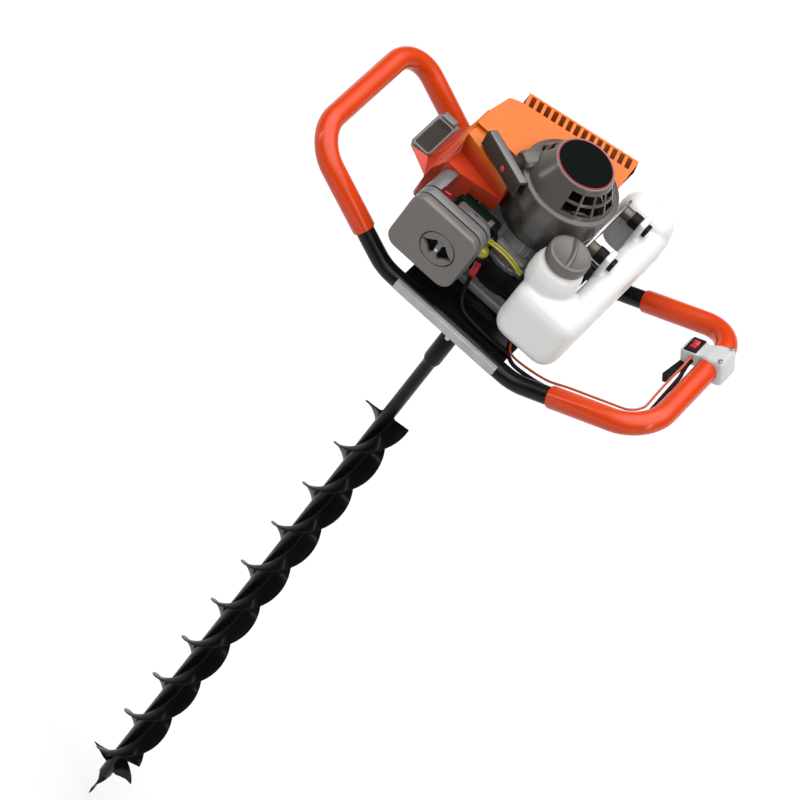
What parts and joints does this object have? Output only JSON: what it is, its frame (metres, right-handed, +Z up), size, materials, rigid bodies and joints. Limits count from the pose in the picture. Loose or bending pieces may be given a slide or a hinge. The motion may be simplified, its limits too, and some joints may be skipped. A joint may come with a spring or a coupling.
{
  "type": "petrol earth auger",
  "caption": "Hand-held petrol earth auger: small engine and gearbox in a looped tube frame with sleeve grips, fuel tank and air filter, driving a long spiral drill bit.",
  "frame": {"origin": "tip of the pilot point at the bottom of the bit", "axes": "+Z up the bit to the pull starter, +X toward the hand loop with the throttle, +Y from the air filter toward the muffler"},
  "size_m": [0.5372, 0.2652, 1.392],
  "materials": {
    "frame_paint": "gloss",
    "rail_alloy": "satin",
    "grip_orange": "satin",
    "cast_alloy": "satin",
    "steel": "satin",
    "black_plastic": "satin",
    "ceramic": "gloss",
    "exhaust_steel": "matte",
    "insulator_green": "matte",
    "intake_gray": "satin",
    "foam": "matte",
    "starter_gray": "satin",
    "badge_black": "gloss",
    "shroud_orange": "satin",
    "cover_gray": "satin",
    "tank_white": "satin",
    "black_rubber": "matte",
    "fuel_yellow": "gloss",
    "switch_silver": "satin",
    "lead_red": "satin",
    "auger_paint": "gloss",
    "fan_alloy": "satin",
    "handle_taupe": "satin",
    "rope_fibre": "matte",
    "red_plastic": "satin",
    "cap_taupe": "satin",
    "filter_taupe": "satin"
  },
  "bodies": {
    "engine": {"frame_tube": "frame_paint", "deck_plate": "frame_paint", "mount_rails": "rail_alloy", "left_grip": "grip_orange", "right_grip": "grip_orange", "lower_gear_case": "cast_alloy", "upper_gear_case": "cast_alloy", "case_bolts": "steel", "bearings": "steel", "clutch_housing": "black_plastic", "crankcase": "cast_alloy", "cylinder_block": "cast_alloy", "spark_plug": "ceramic", "muffler": "exhaust_steel", "insulator": "insulator_green", "carburettor": "cast_alloy", "carb_cowl": "intake_gray", "filter_base": "intake_gray", "filter_element": "foam", "fan_housing": "starter_gray", "starter_housing": "starter_gray", "starter_badge": "badge_black", "shroud": "shroud_orange", "plug_cover": "cover_gray", "fuel_tank": "tank_white", "tank_bracket": "steel", "tank_mounts": "black_rubber", "tank_grommet": "black_rubber", "fuel_lines": "fuel_yellow", "switch_housing": "switch_silver", "switch_bezel": "black_plastic", "housing_screws": "steel", "throttle_cable": "black_rubber", "switch_leads": "lead_red"},
    "auger": {"output_shaft": "steel", "auger_stem": "auger_paint", "auger_flight": "auger_paint", "cutting_blades": "auger_paint", "pilot_point": "auger_paint", "cross_pin": "steel"},
    "cluster": {"cluster_gear": "steel"},
    "drum": {"clutch_drum": "steel"},
    "crank": {"crankshaft": "steel", "flywheel": "fan_alloy", "clutch_shoes": "steel"},
    "piston_set": {"piston": "cast_alloy", "connecting_rod": "steel", "wrist_pin": "steel"},
    "pull": {"starter_handle": "handle_taupe", "starter_rope": "rope_fibre"},
    "pulley": {"starter_pulley": "black_plastic"},
    "trigger": {"throttle_trigger": "black_plastic"},
    "carb_arm": {"throttle_arm": "steel"},
    "rocker": {"kill_rocker": "red_plastic"},
    "choke": {"choke_lever": "red_plastic"},
    "primer": {"primer_bulb": "fuel_yellow"},
    "cap_seal": {"cap_gasket": "black_rubber"},
    "cap": {"fuel_cap": "cap_taupe"},
    "cover": {"filter_cover": "filter_taupe"},
    "knob": {"filter_knob": "filter_taupe"}
  },
  "joints": [
    {"name": "auger_spin", "type": "hinge", "parent": "engine", "child": "auger", "pos_m": [0, 0, 1.169], "axis": [0, 0, 1], "continuous": true},
    {"name": "cluster_spin", "type": "hinge", "parent": "engine", "child": "cluster", "pos_m": [0, 0.03, 1.169], "axis": [0, 0, 1], "continuous": true},
    {"name": "drum_spin", "type": "hinge", "parent": "engine", "child": "drum", "pos_m": [0, 0, 1.169], "axis": [0, 0, 1], "continuous": true},
    {"name": "crank_spin", "type": "hinge", "parent": "engine", "child": "crank", "pos_m": [0, 0, 1.169], "axis": [0, 0, 1], "continuous": true},
    {"name": "piston_stroke", "type": "slide", "parent": "engine", "child": "piston_set", "axis": [-1, 0, 0], "range_m": [0, 0.034]},
    {"name": "starter_pull", "type": "slide", "parent": "engine", "child": "pull", "axis": [-0.5299, -0.848, 0], "range_m": [0, 0.7], "stiffness_N_per_m": 12, "springref_m": -0.4, "deforming": ["starter_rope"]},
    {"name": "pulley_spin", "type": "hinge", "parent": "engine", "child": "pulley", "pos_m": [0, 0, 1.354], "axis": [0, 0, 1], "range_deg": [0, 1300]},
    {"name": "trigger_squeeze", "type": "hinge", "parent": "engine", "child": "trigger", "pos_m": [0.23004, 0.058, 1.23114], "axis": [-0.4748, 0, 0.8801], "range_deg": [0, 18], "stiffness_Nm_per_rad": 0.4, "springref_deg": -8.59},
    {"name": "carb_arm_turn", "type": "hinge", "parent": "engine", "child": "carb_arm", "pos_m": [-0.056, -0.07, 1.274], "axis": [0, 0, 1], "range_deg": [0, 46]},
    {"name": "kill_switch", "type": "hinge", "parent": "engine", "child": "rocker", "pos_m": [0.22321, 0.046, 1.24905], "axis": [0.8801, 0, 0.4748], "range_deg": [-7, 7]},
    {"name": "choke_swing", "type": "hinge", "parent": "engine", "child": "choke", "pos_m": [-0.086, -0.0886, 1.271], "axis": [0, 1, 0], "range_deg": [0, 40]},
    {"name": "primer_press", "type": "slide", "parent": "engine", "child": "primer", "axis": [-1, 0, 0], "range_m": [0, 0.004], "stiffness_N_per_m": 600, "springref_m": -0.001},
    {"name": "cap_lift", "type": "slide", "parent": "engine", "child": "cap_seal", "axis": [0, 0, 1], "range_m": [0, 0.08]},
    {"name": "cap_turn", "type": "hinge", "parent": "cap_seal", "child": "cap", "pos_m": [0.055, -0.068, 1.335], "axis": [0, 0, 1], "range_deg": [0, 180]},
    {"name": "cover_off", "type": "slide", "parent": "engine", "child": "cover", "axis": [0, -1, 0], "range_m": [0, 0.1]},
    {"name": "knob_turn", "type": "hinge", "parent": "cover", "child": "knob", "pos_m": [-0.061, -0.122, 1.256], "axis": [0, -1, 0], "range_deg": [0, 90]}
  ],
  "couplings": [
    {"joint": "cluster_spin", "follows": "auger_spin", "ratio": -4.4545},
    {"joint": "drum_spin", "follows": "auger_spin", "ratio": 19.843},
    {"joint": "pulley_spin", "follows": "starter_pull", "rad_per_m": 32.258},
    {"joint": "carb_arm_turn", "follows": "trigger_squeeze", "ratio": 2.5}
  ]
}
